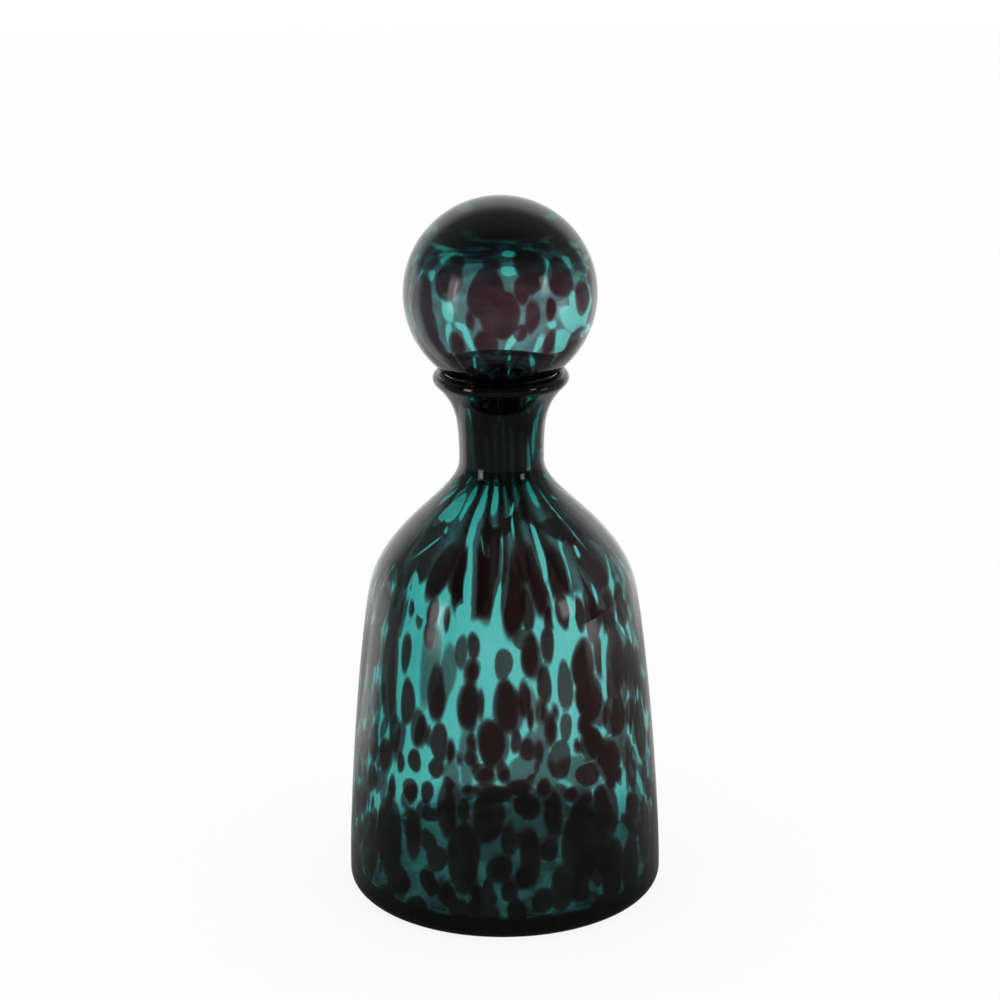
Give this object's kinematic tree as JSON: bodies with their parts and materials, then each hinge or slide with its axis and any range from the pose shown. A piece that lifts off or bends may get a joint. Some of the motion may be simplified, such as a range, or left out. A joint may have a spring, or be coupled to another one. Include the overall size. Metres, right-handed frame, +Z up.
{
  "type": "glass bottle with ball stopper",
  "caption": "Blown glass bottle with a round shoulder, waisted neck and flared lip, closed by a hollow ball stopper on a ground tapered plug.",
  "frame": {"origin": "on the bottle's axis at the plane of its foot ring, which is the middle of the underside of the whole part", "axes": "+Z up along the axis of the bottle and stopper; X and Y across, and the part is a body of revolution about Z"},
  "size_m": [0.15, 0.15, 0.3323],
  "materials": {
    "bottle_glass": "teal blown glass with dark amethyst chips fused in, polished by the fire; ground frosted inside the neck",
    "stopper_glass": "teal blown glass with dark amethyst chips fused in, polished by the fire; ground frosted on the plug"
  },
  "bodies": {
    "bottle": {"bottle": "bottle_glass"},
    "stopper": {"stopper": "stopper_glass"}
  },
  "joints": [
    {"name": "stopper_lift", "type": "slide", "parent": "bottle", "child": "stopper", "axis": [0, 0, 1], "range_m": [0, 0.07]}
  ]
}
